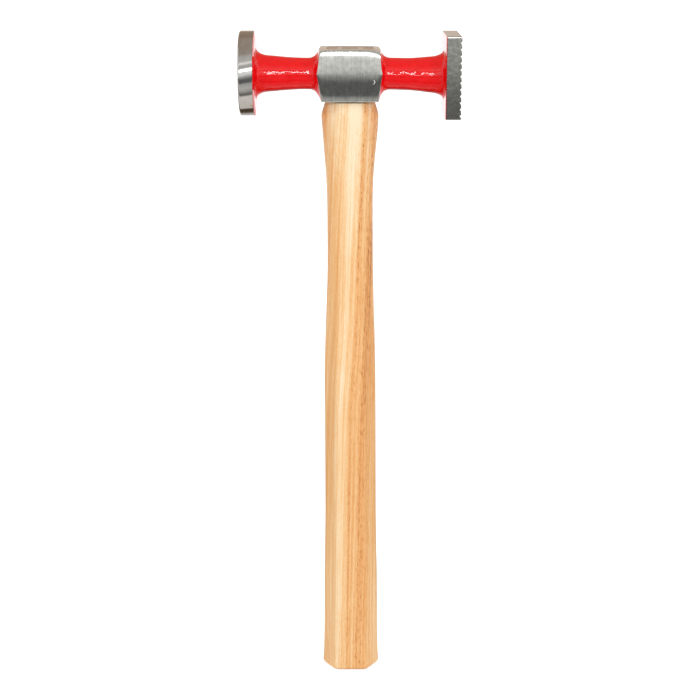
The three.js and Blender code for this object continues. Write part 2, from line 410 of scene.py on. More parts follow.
def boss_section():
    """Depth and height round the boss, and the stretches of it that are the top and the bottom."""
    crown_steps, flat_steps = 44, 24
    highest, lowest = boss_rise - boss_edge * 0.8, boss_chamfer - boss_fall
    crown = [(boss_front_depth(height), height) for height in between(highest, lowest, crown_steps)[1:]]
    side = boss_top_edge() + crown + [(boss_front_depth(lowest) - 0.8 * boss_chamfer, -boss_fall)]
    top_half, bottom_half = side[0][0], side[-1][0]
    top = [(depth, boss_rise) for depth in between(-top_half, top_half, flat_steps)[:-1]]
    bottom = [(depth, -boss_fall) for depth in between(bottom_half, -bottom_half, flat_steps)[:-1]]
    back = side[:-1]
    front = [(-depth, height) for depth, height in reversed(side)][:-1]
    bottom_start = flat_steps + len(back)
    return top + back + bottom + front, (0, flat_steps), (bottom_start, bottom_start + flat_steps)


def worn_towards_end(depth, height, share):
    """The section rounded off by the belt towards an end of the boss, most of all in front on top."""
    wear = share**4
    fall = boss_end_drop * (1 + 0.5 * math.copysign(1, share)) * (1 - 0.5 * depth / boss_crest)
    lowered = height - fall * wear * (max(0.0, height) / boss_rise) ** 2
    return depth * (1 - boss_end_taper * wear), lowered


def outline_radius(outline, angle):
    """How far a closed outline is from its middle, in the direction of an angle."""
    ray = Vector((math.cos(angle), math.sin(angle)))
    farthest = 0.0
    for i, end in enumerate(outline):
        start = Vector(outline[i - 1])
        along = Vector(end) - start
        turn = ray.x * along.y - ray.y * along.x
        if abs(turn) < 1e-14:
            continue
        reach = (start.x * along.y - start.y * along.x) / turn
        share = (start.x * ray.y - start.y * ray.x) / turn
        if reach > 0 and -1e-6 <= share <= 1 + 1e-6:
            farthest = max(farthest, reach)
    return farthest


def cheek_reach(neck, radius, height):
    """Reach of the forged cheek where a neck swells into the boss, proud at the ridge of the dies."""
    fillet = neck["boss_fillet"]
    fillet_radius = neck["waist"] / 2 + fillet
    far = radius / mm
    bulge = cheek_bulge * math.exp(-abs(height / mm - bulge_height) / bulge_spread)
    slant = neck["slant"][0 if height > 0 else 1] * abs(height / boss_rise) ** 1.3
    if far < fillet_radius:
        reach = neck["cheek"] + fillet - math.sqrt(max(0.0, fillet**2 - (fillet_radius - far) ** 2))
    else:
        reach = neck["cheek"] - cheek_lean * (far - fillet_radius) / (forging_radius - fillet_radius)
    return (reach + (bulge - slant) * share_between(far, bulge_start, bulge_full)) * mm


def eye_outline(gap, rise):
    """The eye's outline, an oval with full corners that widens with the rise from bottom to top."""
    half_length = (eye_half_length - gap) * (1 + eye_flare * rise / (2 * eye_half_length))
    half_width = (eye_half_width - gap) * (1 + eye_flare * rise / (2 * eye_half_width))
    straight = half_length * eye_straight_share
    quarter = []
    for t in between(0, 1, 12):
        along = straight * (1 - t) ** 3 + half_length * (1 - (1 - t) ** 3)
        across = half_width * (1 - t**3)
        quarter.append((along, across))
    half = quarter[::-1] + [(-along, across) for along, across in quarter]
    return half + [(-along, -across) for along, across in half][1:-1]


def eye_ring(gap, height, angles):
    """Points round the eye at a height, inside its wall by a gap."""
    outline = eye_outline(gap, (height - boss_bottom) / (boss_top - boss_bottom))
    ring = []
    for angle in angles:
        radius = outline_radius(outline, angle)
        ring.append((radius * math.cos(angle), radius * math.sin(angle), height))
    return ring


def boss_lines(left_end, right_end):
    """Places along the head for one point of the section, each with its inset at the ground ends."""
    rounding = 0.29 * end_edge
    near = [(-left_end, end_edge), (-left_end + rounding, rounding)]
    far = [(right_end - rounding, rounding), (right_end, end_edge)]
    middle = [(along, 0.0) for along in between(-left_end + end_edge, right_end - end_edge, 26)]
    return near + middle + far


def eye_boss_piece():
    section, top_span, bottom_span = boss_section()
    around = len(section)
    columns = []
    for place, (depth, height) in enumerate(section):
        before, after = section[place - 1], section[(place + 1) % around]
        across = Vector((after[0] - before[0], after[1] - before[1])).normalized()
        outward = Vector((-across.y, across.x))
        if outward.dot(Vector((depth, height))) < 0:
            outward.negate()
        ends = []
        for neck in (left_neck, right_neck):
            radius = math.hypot(*worn_towards_end(depth, height, neck["side"])) - end_edge
            ends.append(cheek_reach(neck, radius, height) - 0.02 * mm)
        column = []
        for along, inset in boss_lines(*ends):
            worn_depth, worn_height = worn_towards_end(depth, height, along / ends[0 if along < 0 else 1])
            up = worn_height - outward.y * inset
            column.append((along, worn_depth - outward.x * inset, head_axis_height + up))
        columns.append(column)
    lines = len(columns[0])
    points = [columns[place][line] for line in range(lines) for place in range(around)]
    loops = [range(line * around, (line + 1) * around) for line in range(lines)]
    faces = []
    for line, (near, far) in enumerate(zip(loops, loops[1:])):
        for place, face in enumerate(band(near, far)):
            flat = top_span[0] <= place < top_span[1] or bottom_span[0] <= place < bottom_span[1]
            if not (flat and 2 <= line < lines - 3):
                faces.append(face)

    for end, side in ((loops[0], -1), (loops[-1], 1)):
        plug = range(len(points), len(points) + around)
        for _, depth, height in [points[point] for point in end]:
            up = (height - head_axis_height) * boss_plug_share
            points.append((side * boss_plug, depth * boss_plug_share, head_axis_height + up))
        points.append((side * boss_plug, 0, head_axis_height))
        faces += band(end, plug) + fan(plug, plug[-1] + 1)

    borders = []
    for first, last in (top_span, (bottom_span[1], bottom_span[0])):
        walk = 1 if last > first else -1
        border = [loops[2][place] for place in range(first, last, walk)]
        border += [loops[line][last] for line in range(2, lines - 3)]
        border += [loops[lines - 3][place] for place in range(last, first, -walk)]
        border += [loops[line][first] for line in range(lines - 3, 2, -1)]
        borders.append(border)

    eye = [borders[0]]
    for border, height, gap in (
        (borders[0], boss_top, -eye_chamfer),
        (borders[0], boss_top - eye_chamfer, 0),
        (borders[1], boss_bottom + eye_chamfer, 0),
        (borders[1], boss_bottom, -eye_chamfer),
    ):
        angles = [math.atan2(points[point][1], points[point][0]) for point in border]
        eye.append(range(len(points), len(points) + len(angles)))
        points += eye_ring(gap, height, angles)
    eye.append(borders[1])
    for outer, inner in zip(eye, eye[1:]):
        faces += band(outer, inner)
    return closed_piece("eye_boss", points, faces)


def belt_lay(place, stretch):
    """The lay of belt-ground steel: fine lines round the boss, across the head's length."""
    return stretched(place, 1, stretch, stretch)


def paint_boss_glint(steel):
    """A painted highlight: a small pale half-moon low on the front of the boss, as a nick's raised edge
    would catch the light.
    """
    tree, shader = opened(steel)
    place = on_piece(tree)
    disc, bite = [
        step(tree, "ShaderNodeVectorMath", {0: place, 1: spot}, "Value", operation="DISTANCE")
        for spot in ((10.7 * mm, -14.1 * mm, 301.4 * mm), (10.2 * mm, -14.1 * mm, 301.45 * mm))
    ]
    small, large = 0.95 * mm, 1.1 * mm
    # Painted highlight: a pale crescent of colour, with no dent under it
    painted_glint = spread(disc, large, small) * spread(bite, small, large)
    feed(shader, {
        "Base Color": tint(painted_glint, fed_to(shader, "Base Color"), (0.85, 0.85, 0.83, 1)),
        "Roughness": spread(painted_glint, 0.0, 1.0, fed_to(shader, "Roughness"), 0.6),
    })


eye_boss = eye_boss_piece()
ground_steel = bare_steel(
    "ground_steel", belt_lay, (0.39, 0.395, 0.36, 1), (0.63, 0.635, 0.59, 1),
    polish=0.09, line_depth=0.014 * mm, waves_per_metre=1300, wave_depth=0.035 * mm, spread_across=0.6,
)
paint_boss_glint(ground_steel)
eye_boss.data.materials.append(ground_steel)
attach(eye_boss, "root")
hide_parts("hammer_head")


# Necks
#
# Forged in one with the boss and the two faces, and enamelled red: each runs from the back of its
# face, down a long flare to a waist, and out again to its cheek of the boss, as the dies left it.

# In millimetres: where the enamelled back of the face lies, how far its slope runs along the head and
# inwards, how far the enamel stands over the bare face, the fillet down to the root, the straight
# waist, how far the face sags, and the height of the trimmed die line
left_neck.update(
    back=44.3, slope_along=0.5, slope_in=2.9, over_face=-0.01, fillet_along=7.0, fillet_out=3.9,
    root=16.9, waist_length=3.4, drop=0.0, trim=0.08,
)
right_neck.update(
    back=44.13, slope_along=0.12, slope_in=0.6, over_face=0.02, fillet_along=7.5, fillet_out=3.4,
    root=16.8, waist_length=6.0, drop=0.5, trim=0.17,
)

# The ends hidden inside the bare face and inside the boss, each with how far it lies under the surface
hidden_start, under_face = 0.5 * mm, 0.9 * mm
hidden_end, under_boss = 12.6 * mm, 0.3 * mm
square_face_half = 19.05 * mm
square_face_corner = 0.5 * mm


def plate_outline():
    full, cut = square_face_half, square_face_half - square_face_corner
    corners = [(full, -cut), (full, cut), (cut, full), (-cut, full)]
    return corners + [(-across, -up) for across, up in corners]


def neck_line(neck, face_radius, boss_radius, angle):
    """Reach and radius of a neck along one angle, from inside its face to inside the boss."""
    back, slope_along, slope_in = neck["back"] * mm, neck["slope_along"] * mm, neck["slope_in"] * mm
    root, waist = neck["root"] / 2 * mm, neck["waist"] / 2 * mm
    rim = face_radius + neck["over_face"] * mm
    line = [(back + slope_along + hidden_start, face_radius - under_face), (back + slope_along, rim)]
    for share in between(0, 1, 8)[1:]:
        line.append((back + slope_along * (1 - share) ** 1.15, rim - slope_in * share))
    along, out = neck["fillet_along"] * mm, neck["fillet_out"] * mm
    flange, slope_end = root + out, rim - slope_in
    line += [(back, radius) for radius in between(slope_end, flange, 7)[1:-1]]
    for turn in between(math.radians(90), math.radians(174), 14):
        line.append((back - along + along * math.sin(turn), flange + out * math.cos(turn)))
    flare_end = (neck["cheek"] + neck["boss_fillet"] + neck["waist_length"]) * mm
    bend = flare_end + neck["waist_length"] * mm
    for t in between(0, 1, 26)[1:]:
        reach = (1 - t) ** 2 * (back - along) + 2 * t * (1 - t) * bend + t**2 * flare_end
        radius = (1 - t) ** 2 * root + 2 * t * (1 - t) * waist + t**2 * waist
        line.append((reach, radius))
    fillet_start = (neck["cheek"] + neck["boss_fillet"]) * mm
    line += [(reach, waist) for reach in between(flare_end, fillet_start, 6)[1:-1]]
    for share in between(0, 1, 22):
        radius = waist + (boss_radius - under_boss - waist) * share**2
        line.append((cheek_reach(neck, radius, radius * math.sin(angle)), radius))
    reach, radius = line[-1]
    line.append((reach - 0.12 * mm, radius - 0.12 * mm))
    line.append((hidden_end + 0.2 * mm, radius - 1.5 * mm))
    return line


def forged_lumps(place, reach, radius, neck):
    """How far the enamelled forging swells or sinks: hammer-scale lumps, and the trimmed die line."""
    spot = Vector(place)
    swell = 0.055 * mm * noise.noise(spot * 230) + 0.02 * mm * noise.noise(spot * 620)
    trim = neck["trim"] * mm * (0.55 + 0.9 * noise.noise(Vector((spot.x * 260, 7.3, 1.1))))
    trim_half_width = 0.75 * mm
    swell += trim * math.exp(-(((spot.z - head_axis_height) / trim_half_width) ** 2))
    from_face = share_between(neck["back"] - reach / mm, 1.5, 5.5)
    from_boss = share_between(radius, 13.5 * mm, 10.5 * mm)
    return swell * from_face * from_boss


def neck_drop(neck, reach):
    """How far the forging sags towards its face, as the dies were a touch out of line."""
    return neck["drop"] * mm * share_between(reach, 15 * mm, 37 * mm)


def neck_piece(name, neck, face_outline):
    section = [worn_towards_end(depth, height, neck["side"]) for depth, height in boss_section()[0]]
    angles = [math.atan2(up, across) for across, up in section + plate_outline()]
    angles += [math.radians(turn) for turn in range(-180, 180, 2)]
    angles.sort()
    angles = [angle for i, angle in enumerate(angles) if i == 0 or angle - angles[i - 1] > 1e-5]
    columns = []
    for angle in angles:
        column = []
        radii = outline_radius(face_outline, angle), outline_radius(section, angle)
        for reach, radius in neck_line(neck, *radii, angle):
            place = turned_ring(neck["side"], reach, radius, [angle])[0]
            lumpy = radius + forged_lumps(place, reach, radius, neck)
            x, y, z = turned_ring(neck["side"], reach, lumpy, [angle])[0]
            column.append((x, y, z - neck_drop(neck, reach)))
        columns.append(column)
    rings = [list(ring) for ring in zip(*columns)]
    start_reach = (neck["back"] + neck["slope_along"]) * mm + hidden_start
    start = (neck["side"] * start_reach, 0, head_axis_height - neck["drop"] * mm)
    end = (neck["side"] * hidden_end, 0, head_axis_height)
    return skinned_piece(name, rings, start, end)


def enamel_finish():
    """Thick red enamel over a forging: a hard gloss with orange peel and a little unevenness.

    It is duller where it looks a little downwards, and its underside carries painted shade.
    """
    enamel, tree, shader = new_finish("red_enamel_finish")
    place, facing = on_piece(tree), facing_up(tree)
    uneven = spread(grit(place, 300, 3.0), 0.35, 0.65)
    colour = tint(uneven, (0.77, 0.003, 0.005, 1), (0.84, 0.006, 0.009, 1))
    # Painted shade: the enamel turns a deep red where it faces downwards
    painted_underside_shade = spread(facing, -0.80, -0.95) * 0.6
    rough = spread(grit(place, 900, 2.0), 0.3, 0.7, 0.20, 0.32)
    peel = grit(place, 290, 1.5) + grit(place, 700, 2.0) * 0.3
    orange_peel = relief(peel, 0.17 * mm)
    dull = spread(facing, -0.06, -0.2) * spread(facing, -0.68, -0.54)
    feed(shader, {
        "Base Color": tint(painted_underside_shade, colour, (0.16, 0.002, 0.003, 1)), "Roughness": rough,
        "Normal": orange_peel, "Coat Normal": orange_peel, "Specular IOR Level": 0.0,
        "Coat Weight": spread(dull, 0.0, 1.0, 1.0, 0.45), "Coat Roughness": 0.03,
    })
    return enamel


enamel_red = enamel_finish()
round_outline = [(y, z - head_axis_height) for _, y, z in turned_ring(1, 0, round_face_radius, rim_angles)]
for name, neck, face_outline in (
    ("left_neck", left_neck, round_outline),
    ("right_neck", right_neck, plate_outline()),
):
    piece = neck_piece(name, neck, face_outline)
    piece.data.materials.append(enamel_red)
    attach(piece, "root")
    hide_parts("hammer_head")


# Square face
#
# The right end of the forging, a square plate with its sides ground bare. Crossing V grooves milled
# over its face leave rows of flat-topped teeth, which grip the panel and shrink it.

square_face_sizes = {
    "Side": 38.1 * mm,
    "Thickness": 7.2 * mm,
    "Face Reach": 51.4 * mm,
    "Axis Height": head_axis_height - right_neck["drop"] * mm,
    "Tooth Pitch": 3.03 * mm,
    "Tooth Shift": -0.65 * mm,
    "Groove Half Width": 0.7 * mm,
    "Groove Depth": 0.8 * mm,
    "Tooth Bevel": 0.1 * mm,
    "Groove Bottom": 0.08 * mm,
    "Edge": 0.35 * mm,
    "Corner": square_face_corner,
}
groove_count = 12
lines_per_groove = 6
border_lines = 3
lines_each_way = lines_per_groove * groove_count + 2 * border_lines


def pick_from(index, values):
    """The value whose turn it is in a list."""
    pick = index.tree.nodes.new("GeometryNodeIndexSwitch")
    pick.data_type = "FLOAT"
    while len(pick.index_switch_items) < len(values):
        pick.index_switch_items.new()
    feed(pick, enumerate((index, *values)))
    return Value(pick.outputs[0])


def tooth_lines(place, size, sizes):
    """Moves evenly spaced lines to the grooves, and the last three on each side to the border."""
    half_way = (lines_each_way - 1) / 2
    line = round((place / size + 0.5) * (lines_each_way - 1))
    in_grooves = line - border_lines
    groove = math.floor((in_grooves + 0.01) / lines_per_groove)
    across = in_grooves - groove * lines_per_groove - 2.5
    rank = math.floor(abs(across))
    half, bevel, bottom = sizes["Groove Half Width"], sizes["Tooth Bevel"], sizes["Groove Bottom"]
    slope = sizes["Groove Depth"] / half
    offsets = (bottom, half - bevel, half + bevel)
    depths = (sizes["Groove Depth"] - slope * bottom, slope * bevel, 0.0)
    middle = (groove - (groove_count - 1) / 2) * sizes["Tooth Pitch"]
    offset = pick_from(rank, offsets) * across.calc("SIGN")
    toothed = middle + sizes["Tooth Shift"] + offset
    beyond = abs(line - half_way) - half_way
    outer = beyond.calc("GREATER_THAN", -2.6)
    outermost = beyond.calc("GREATER_THAN", -0.6)
    inward = spread(beyond, -1.0, -2.0, 1.0, 1.7)
    depth = pick_from(rank, depths) * (1.0 - outer)
    return toothed, depth, outer, outermost, inward, place.calc("SIGN")


def square_face_build():
    """The plate and its teeth, grown from one block of evenly spaced lines."""
    tree = bpy.data.node_groups.new("square_face_build", "GeometryNodeTree")
    for label in square_face_sizes:
        tree.interface.new_socket(label, in_out="INPUT", socket_type="NodeSocketFloat")
    tree.interface.new_socket("Steel", in_out="INPUT", socket_type="NodeSocketMaterial")
    tree.interface.new_socket("Plate", in_out="OUTPUT", socket_type="NodeSocketGeometry")
    given = tree.nodes.new("NodeGroupInput")
    sizes = {label: Value(given.outputs[label]) for label in square_face_sizes}
    side, thickness, reach = sizes["Side"], sizes["Thickness"], sizes["Face Reach"]
    edge, corner = sizes["Edge"], sizes["Corner"]
    plate = step(tree, "GeometryNodeMeshCube", {
        "Size": joined(thickness, side, side),
        "Vertices X": 5, "Vertices Y": lines_each_way, "Vertices Z": lines_each_way,
    }, "Mesh")
    spot = parts_of(step(tree, "GeometryNodeInputPosition"))
    layer = round((spot[0] / thickness + 0.5) * 4)
    across, up = tooth_lines(spot[1], side, sizes), tooth_lines(spot[2], side, sizes)
    depth = across[1].calc("MAXIMUM", up[1])
    at_faces = abs(layer - 2).calc("GREATER_THAN", 1.5)
    inset = at_faces * edge
    both_outermost = across[3] * up[3]
    half_side = side * 0.5
    places = []
    for toothed, _, outer, outermost, inward, sign in (across, up):
        cut = (corner - inset) * 0.293
        step_in = inset + cut * both_outermost
        corner_line = corner * (1.0 - outermost) * inward
        border_in = step_in * outermost + corner_line
        border = sign * (half_side - border_in)
        kept = toothed * (1.0 - outer)
        places.append(kept + border * outer)
    back = reach - thickness
    under_teeth = reach - sizes["Groove Depth"] * 2
    teeth = reach - depth
    layers = (back, back + edge, under_teeth, teeth - edge, teeth)
    height = places[1] + sizes["Axis Height"]
    new_place = joined(pick_from(layer, layers), places[0], height)
    for kind, geometry, feeds, settings in (
        ("GeometryNodeSetPosition", "Geometry", {"Position": new_place}, {}),
        ("GeometryNodeTriangulate", "Mesh", {}, {"quad_method": "LONGEST_DIAGONAL"}),
        ("GeometryNodeRealizeInstances", "Geometry", {}, {}),
        ("GeometryNodeSetMaterial", "Geometry", {"Material": Value(given.outputs["Steel"])}, {}),
    ):
        plate = step(tree, kind, {geometry: plate, **feeds}, **settings)
    feed(tree.nodes.new("NodeGroupOutput"), {0: plate})
    return tree


def keep_shape(piece):
    """Keeps what the piece's modifier makes of it as its own plain mesh."""
    grown = piece.evaluated_get(bpy.context.evaluated_depsgraph_get())
    mesh = bpy.data.meshes.new_from_object(grown)
    piece.modifiers.clear()
    piece.data = mesh
    smooth_to_its_edges(piece)


def built_piece(name, tree, sizes, finish):
    """Runs a build with its sizes."""
    piece = placed(name, bpy.data.meshes.new(name))
    build = piece.modifiers.new("build", "NODES")
    build.node_group = tree
    for socket in tree.interface.items_tree:
        if socket.in_out == "INPUT":
            build[socket.identifier] = sizes.get(socket.name, finish)
    keep_shape(piece)
    return piece


def plain_lay(place, stretch):
    return place


def darken_downwards(steel, top, bottom, share):
    """Lets the steel darken from one height to a lower one."""
    tree, shader = opened(steel)
    place = on_piece(tree)
    patches = (grit(place, 260, 3.0) - 0.5) * 0.012
    low = spread(parts_of(place)[2] + patches, top, bottom, 0.0, share)
    feed(shader, {"Base Color": tint(low, fed_to(shader, "Base Color"), (0.10, 0.095, 0.085, 1))})


milled_steel = bare_steel(
    "milled_steel", plain_lay, (0.36, 0.36, 0.325, 1), (0.62, 0.62, 0.57, 1),
    polish=0.14, line_depth=0.015 * mm, waves_per_metre=600, wave_depth=0.035 * mm,
)
plate_steel = milled_steel.copy()
plate_steel.name = "plate_steel"
darken_downwards(plate_steel, 311 * mm, 292 * mm, 0.55)
square_face = built_piece("square_face", square_face_build(), square_face_sizes, plate_steel)
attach(square_face, "root")
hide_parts("hammer_head")


# Handle
#
# One stick of hickory, shaped to a soft octagon at the grip, an oval waist and a swelled shoulder,
# sanded and lightly varnished. Its tenon fills the eye and is sawn to take the wedges.

handle_stations = (
    # In millimetres: height, width along the head, depth, lean of the middle line along the head
    (1.5, 28.6, 22.8, 0.43),
    (8.0, 27.95, 22.4, 0.42),
    (20.0, 27.4, 22.1, 0.44),
    (50.0, 26.85, 21.8, 0.42),
    (67.0, 26.25, 21.4, 0.35),
    (86.0, 25.75, 21.0, 0.31),
    (132.0, 25.5, 20.7, 0.15),
    (158.0, 25.3, 20.5, 0.03),
    (172.0, 24.75, 20.0, 0.03),
    (194.0, 23.2, 18.8, 0.08),
    (209.0, 22.35, 18.2, 0.16),
    (228.0, 21.95, 17.9, 0.06),
    (246.0, 22.05, 18.0, -0.05),
    (256.0, 22.8, 18.4, -0.09),
    (268.0, 24.75, 19.6, -0.05),
    (278.0, 26.4, 20.9, 0.03),
    (283.6, 27.15, 21.6, -0.05),
    (285.4, 27.0, 21.5, -0.03),
    (286.6, 26.3, 21.1, 0.0),
    (291.85, 23.1, 19.2, 0.0),
)

# In millimetres: the butt's chamfer, the heights between which the flats fade out and come back a
# little, and how far a slanting flat runs along the width and along the depth
butt_chamfer = 1.5
grip_top, waist_bottom, waist_top, shoulder = 156.0, 232.0, 246.0, 281.0
facet_along_width, facet_along_depth, facet_sharpness = 6.0, 8.8, 24
handle_sides = 144
joint_gap = 0.04 * mm


def handle_size(height):
    """Width, depth and lean of the handle at a height, on smooth curves through its stations."""
    spans = len(handle_stations) - 1
    i = max(0, min(spans - 1, sum(station[0] <= height for station in handle_stations) - 1))
    low, high = handle_stations[i], handle_stations[i + 1]
    before, after = handle_stations[max(0, i - 1)], handle_stations[min(spans, i + 2)]
    span = high[0] - low[0]
    t = (height - low[0]) / span
    sizes = []
    for k in (1, 2, 3):
        rise_low = (high[k] - before[k]) / (high[0] - before[0]) * span
        rise_high = (after[k] - low[k]) / (after[0] - low[0]) * span
        bend = low[k] * (2 * t**3 - 3 * t**2 + 1) + high[k] * (3 * t**2 - 2 * t**3)
        sizes.append(bend + rise_low * (t**3 - 2 * t**2 + t) + rise_high * (t**3 - t**2))
    return sizes


def eased(value, start, stop):
    share = share_between(value, start, stop)
    return share * share * (3 - 2 * share)


def handle_radius(angle, half_width, half_depth, facets, inset):
    """A section blended between an oval and an octagon with softened corners, cut back by an inset."""
    across, deep = abs(math.cos(angle)), abs(math.sin(angle))
    sides = [across / (half_width - inset), deep / (half_depth - inset)]
    oval = 1 / math.hypot(*sides)
    slant = facet_along_depth * half_width + facet_along_width * (half_depth - facet_along_depth)
    slant -= inset * math.hypot(facet_along_depth, facet_along_width)
    sides.append((facet_along_depth * across + facet_along_width * deep) / slant)
    octagon = sum(side**facet_sharpness for side in sides) ** (-1 / facet_sharpness)
    return oval + (octagon - oval) * facets


def handle_ring(height, inset, angles):
    width, depth, lean = handle_size(max(height, butt_chamfer))
    facets = 1 - eased(height, grip_top, waist_bottom) + 0.35 * eased(height, waist_top, shoulder)
    ring = []
    for angle in angles:
        radius = handle_radius(angle, width / 2, depth / 2, facets, inset) * mm
        ring.append((radius * math.cos(angle) + lean * mm, radius * math.sin(angle), height * mm))
    return ring


def handle_piece():
    angles = [2 * math.pi * i / handle_sides for i in range(handle_sides)]
    butt = butt_chamfer
    places = [(0.0, butt + 0.12), (0.1, butt - 0.06), (butt - 0.15, 0.12), (butt + 0.1, 0.0)]
    rows = 220
    lowest, seat = butt + 0.6, handle_stations[-1][0]
    places += [(height, 0.0) for height in between(lowest, seat, rows)[:-1]]
    places += [(seat - 0.02, 0.12), (seat, 0.3)]
    rings = [handle_ring(height, inset, angles) for height, inset in places]
    tenon_top, tenon_seat, tenon_edge = boss_top - 0.03 * mm, seat * mm, 0.08 * mm
    places = [(height, joint_gap) for height in between(tenon_seat, tenon_top, 6)[:-1]]
    places += [(tenon_top - tenon_edge, joint_gap), (tenon_top, joint_gap + tenon_edge)]
    rings += [eye_ring(gap, height, angles) for height, gap in places]
    return skinned_piece("hickory_handle", rings, (0, 0, 0), (0, 0, tenon_top))


kerf_depth = 18.2 * mm
wood_wedge_top, wood_wedge_tip = 3.2 * mm, 1.0 * mm
steel_wedge_top, steel_wedge_tip = 2.4 * mm, 0.6 * mm
steel_wedge_width, steel_wedge_height = 10.6 * mm, 13 * mm
steel_wedge_spacing = 9.6 * mm


def wedge_ring(centre, half_x, half_y, corner, height):
    ring = []
    corners = ((1, 1, 0), (-1, 1, 90), (-1, -1, 180), (1, -1, 270))
    for side_x, side_y, start in corners:
        for i in range(6):
            angle = math.radians(start + 90 * i / 5)
            x = centre + side_x * (half_x - corner) + corner * math.cos(angle)
            y = side_y * (half_y - corner) + corner * math.sin(angle)
            ring.append((x, y, height))
    return ring


def wedge_levels(length, steps, gap):
    """The heights of a wedge's rings, each with its share of the way up; a gap deepens the tip."""
    for i in range(steps + 1):
        yield i / steps, boss_top - length * (1 - i / steps) - (gap if i == 0 else 0)


def opened_above(rings):
    """The rings of a cut, carried on past the top of the boss."""
    return rings + [[(x, y, z + 1 * mm) for x, y, z in rings[-1]]]


def wood_wedge_rings(gap=0):
    """The wooden wedge from its tip to its top, along the eye; with a gap, the kerf it's driven in."""
    rings = []
    for share, height in wedge_levels(kerf_depth, 6, gap):
        rise = (height - boss_bottom) / (boss_top - boss_bottom)
        half_x = eye_half_length + eye_flare / 2 * rise + (2 * mm if gap else -0.25 * mm)
        half_y = (wood_wedge_tip + (wood_wedge_top - wood_wedge_tip) * share) / 2 + gap
        rings.append(wedge_ring(0, half_x, half_y, min(0.4 * mm, half_y * 0.9), height))
    return opened_above(rings) if gap else rings


def steel_wedge_rings(side, gap=0):
    """A steel wedge from its tip to its hammered top; with a gap, the slot it cuts for itself."""
    centre, half_y = side * steel_wedge_spacing / 2, steel_wedge_width / 2 + gap
    rings = []
    for share, height in wedge_levels(steel_wedge_height, 5, gap):
        half_x = (steel_wedge_tip + (steel_wedge_top - steel_wedge_tip) * share) / 2 + gap
        rings.append(wedge_ring(centre, half_x, half_y, min(0.25 * mm, half_x * 0.9), height))
    if gap:
        return opened_above(rings)
    top = rings.pop()
    rings.append([(x, y, z - 0.15 * mm) for x, y, z in top])
    rings.append([(centre + (x - centre) * 0.9, y * 0.985, z - 0.02 * mm) for x, y, z in top])
    return rings


def middle_of(ring):
    return sum((Vector(point) for point in ring), Vector()) / len(ring)


def wedge_piece(name, rings):
    return skinned_piece(name, rings, middle_of(rings[0]), middle_of(rings[-1]))


def cut_out(piece, rings):
    """Cuts the space of a wedge out of a piece."""
    cutter = wedge_piece("cutter", rings)
    cut = piece.modifiers.new("cut", "BOOLEAN")
    cut.operation = "DIFFERENCE"
    cut.solver = "EXACT"
    cut.object = cutter
    keep_shape(piece)
    bpy.data.objects.remove(cutter)


def blended(value, tones, easing):
    """A colour that runs through a list of places and tones as a value goes from 0 to 1."""
    ramp = value.tree.nodes.new("ShaderNodeValToRGB")
    ramp.color_ramp.interpolation = easing
    stops = ramp.color_ramp.elements
    while len(stops) < len(tones):
        stops.new(1.0)
    for stop, (position, (red, green, blue)) in zip(stops, tones):
        stop.position = position
        stop.color = (red, green, blue, 1)
    feed(ramp, {0: value})
    return Value(ramp.outputs[0])


def growth_lines(across):
    """Tone of the wood across its growth rings, from dark pore lines to the palest wood."""
    rings = (
        # millimetres across, tone
        (-17, 0.40), (-12, 0.42), (-9.5, 0.44), (-7.8, 0.30), (-6.4, 0.46), (-2.8, 0.54), (-1.4, 0.68),
        (-0.2, 0.80), (1.8, 0.82), (3.2, 0.68), (5.2, 0.54), (6.1, 0.22), (7.0, 0.46), (8.6, 0.50),
        (9.8, 0.36), (10.8, 0.20), (11.6, 0.16), (12.3, 0.22), (12.7, 0.04), (13.1, 0.30), (14.2, 0.40),
        (15.5, 0.34), (18.0, 0.52),
    )
    low, high = rings[0][0], rings[-1][0]
    tones = [((place - low) / (high - low), (tone, tone, tone)) for place, tone in rings]
    return blended(spread(across, low * mm, high * mm), tones, "EASE")


wood_tones = (
    (0.0, (0.46, 0.17, 0.05)),
    (0.30, (0.76, 0.33, 0.10)),
    (0.55, (0.87, 0.47, 0.185)),
    (0.80, (0.94, 0.63, 0.33)),
    (1.0, (0.97, 0.79, 0.54)),
)


